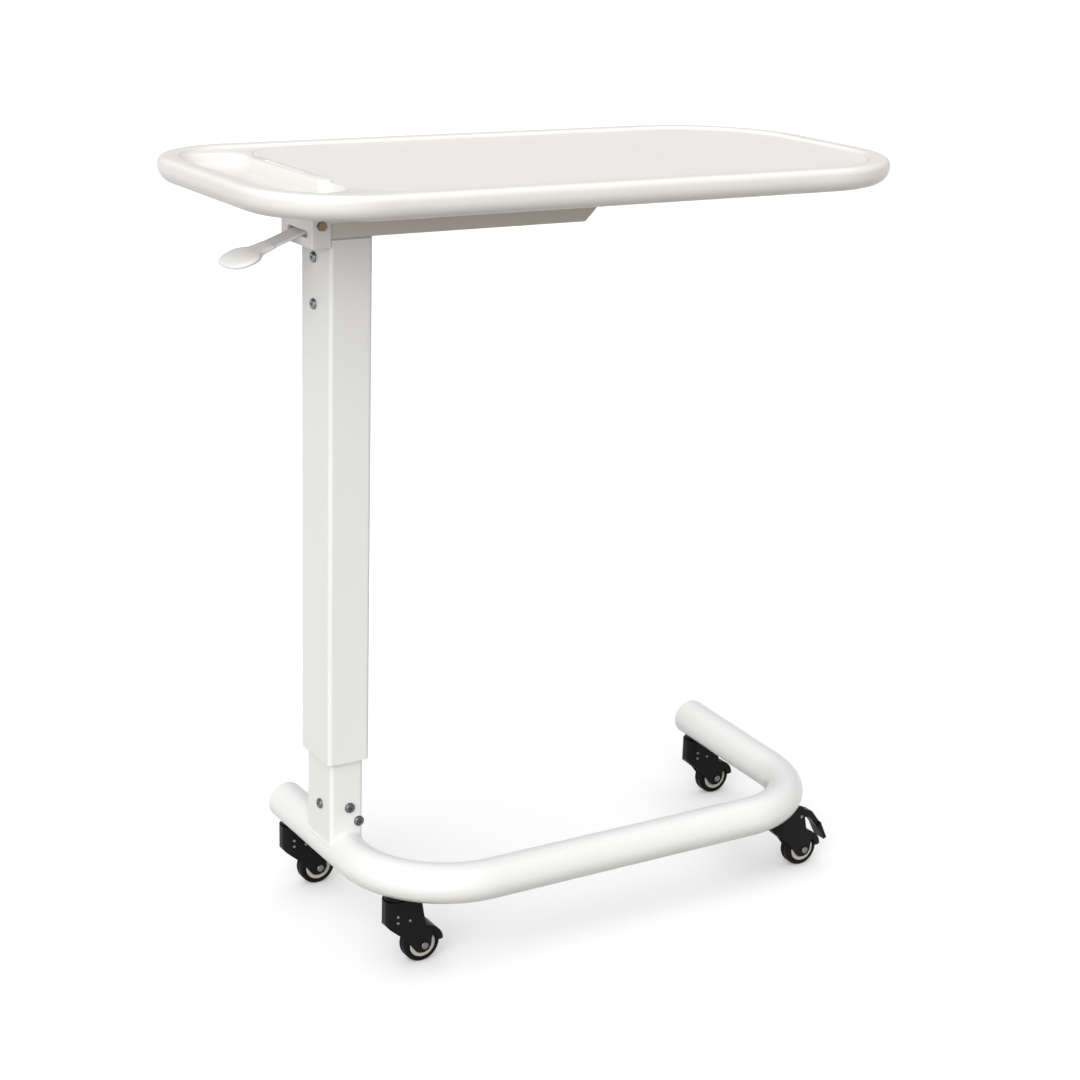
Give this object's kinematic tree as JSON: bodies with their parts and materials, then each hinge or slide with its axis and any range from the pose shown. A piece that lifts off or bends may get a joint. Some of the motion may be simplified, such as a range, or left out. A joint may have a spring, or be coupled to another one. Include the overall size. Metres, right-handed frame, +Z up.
{
  "type": "overbed table",
  "caption": "Height-adjustable overbed table with a U-shaped tube base on swivel casters, side column, release lever and moulded tabletop.",
  "frame": {"origin": "centre of the overall bounding box on the floor plane, wheels at z = 0", "axes": "+X along the tabletop's length away from the column end, +Y towards the open side of the base, +Z up"},
  "size_m": [0.8, 0.4, 0.8705],
  "materials": {
    "abs_shell": "satin moulded",
    "aluminium": "cast",
    "black_paint": "satin",
    "black_plastic": "satin",
    "brass": "dull",
    "caster_hub": "satin",
    "channel_paint": "satin warm grey",
    "grey_plastic": "matt",
    "panel": "fine matt",
    "steel": "zinc plated",
    "tyre": "matt",
    "white_paint": "satin powder coat",
    "white_plastic": "satin"
  },
  "bodies": {
    "base": {"base_tube": "white_paint", "tube_end_cap_left": "white_plastic", "tube_end_cap_right": "white_plastic", "column_spigot": "steel", "lower_column": "white_paint", "lower_column_screws": "steel", "column_glide_upper": "grey_plastic", "gas_spring_cylinder": "black_paint", "gas_spring_guide": "grey_plastic", "gas_spring_anchor": "steel", "caster_boss_front_left": "black_plastic", "caster_stem_front_left": "steel", "caster_boss_front_right": "black_plastic", "caster_stem_front_right": "steel", "caster_boss_back_left": "black_plastic", "caster_stem_back_left": "steel", "caster_boss_back_right": "black_plastic", "caster_stem_back_right": "steel"},
    "column": {"outer_column": "white_paint", "outer_column_screws": "steel", "column_glide_lower": "grey_plastic", "column_insert": "aluminium", "column_top_plate": "steel", "gas_spring_rod": "steel", "support_channel": "channel_paint", "head_bracket": "white_paint", "lever_pivot_bolt": "brass", "lever_pivot_nut": "steel", "tabletop_upper": "abs_shell", "tabletop_lower": "abs_shell", "inlay_panel": "panel", "tabletop_inserts": "brass", "tabletop_screws": "steel"},
    "lever": {"lever_arm": "white_paint", "lever_paddle": "white_plastic"},
    "valve": {"valve_pin": "steel"},
    "swivel_front_left": {"caster_fork_front_left": "black_plastic", "caster_axle_front_left": "steel"},
    "wheel_front_left": {"caster_tyre_front_left": "tyre", "caster_hub_front_left": "caster_hub"},
    "swivel_front_right": {"caster_fork_front_right": "black_plastic", "caster_axle_front_right": "steel", "brake_pin": "steel"},
    "wheel_front_right": {"caster_tyre_front_right": "tyre", "caster_hub_front_right": "caster_hub"},
    "swivel_back_left": {"caster_fork_back_left": "black_plastic", "caster_axle_back_left": "steel"},
    "wheel_back_left": {"caster_tyre_back_left": "tyre", "caster_hub_back_left": "caster_hub"},
    "swivel_back_right": {"caster_fork_back_right": "black_plastic", "caster_axle_back_right": "steel"},
    "wheel_back_right": {"caster_tyre_back_right": "tyre", "caster_hub_back_right": "caster_hub"},
    "pedal": {"brake_pedal": "black_plastic"}
  },
  "joints": [
    {"name": "column_lift", "type": "slide", "parent": "base", "child": "column", "axis": [0, 0, 1], "range_m": [-0.035, 0.2]},
    {"name": "release_lever", "type": "hinge", "parent": "column", "child": "lever", "pos_m": [-0.283, 0, 0.8155], "axis": [0, 1, 0], "range_deg": [0, 9], "stiffness_Nm_per_rad": 1.2, "springref_deg": -20.05},
    {"name": "valve_press", "type": "slide", "parent": "column", "child": "valve", "axis": [0, 0, -1], "range_m": [0, 0.0065]},
    {"name": "swivel_front_left", "type": "hinge", "parent": "base", "child": "swivel_front_left", "pos_m": [-0.22925, -0.11291, 0.07], "axis": [0, 0, 1], "continuous": true},
    {"name": "roll_front_left", "type": "hinge", "parent": "swivel_front_left", "child": "wheel_front_left", "pos_m": [-0.19775, -0.11291, 0.022], "axis": [0, 1, 0], "continuous": true},
    {"name": "swivel_front_right", "type": "hinge", "parent": "base", "child": "swivel_front_right", "pos_m": [0.30125, -0.11291, 0.07], "axis": [0, 0, 1], "continuous": true},
    {"name": "roll_front_right", "type": "hinge", "parent": "swivel_front_right", "child": "wheel_front_right", "pos_m": [0.33275, -0.11291, 0.022], "axis": [0, 1, 0], "continuous": true},
    {"name": "swivel_back_left", "type": "hinge", "parent": "base", "child": "swivel_back_left", "pos_m": [-0.247, 0.116, 0.07], "axis": [0, 0, 1], "continuous": true},
    {"name": "roll_back_left", "type": "hinge", "parent": "swivel_back_left", "child": "wheel_back_left", "pos_m": [-0.2155, 0.116, 0.022], "axis": [0, 1, 0], "continuous": true},
    {"name": "swivel_back_right", "type": "hinge", "parent": "base", "child": "swivel_back_right", "pos_m": [0.3329, 0.116, 0.07], "axis": [0, 0, 1], "continuous": true},
    {"name": "roll_back_right", "type": "hinge", "parent": "swivel_back_right", "child": "wheel_back_right", "pos_m": [0.3644, 0.116, 0.022], "axis": [0, 1, 0], "continuous": true},
    {"name": "brake_press", "type": "hinge", "parent": "swivel_front_right", "child": "pedal", "pos_m": [0.32525, -0.11291, 0.068], "axis": [0, 1, 0], "range_deg": [0, 4.5]}
  ],
  "couplings": [
    {"joint": "valve_press", "follows": "release_lever", "m_per_rad": 0.036}
  ]
}
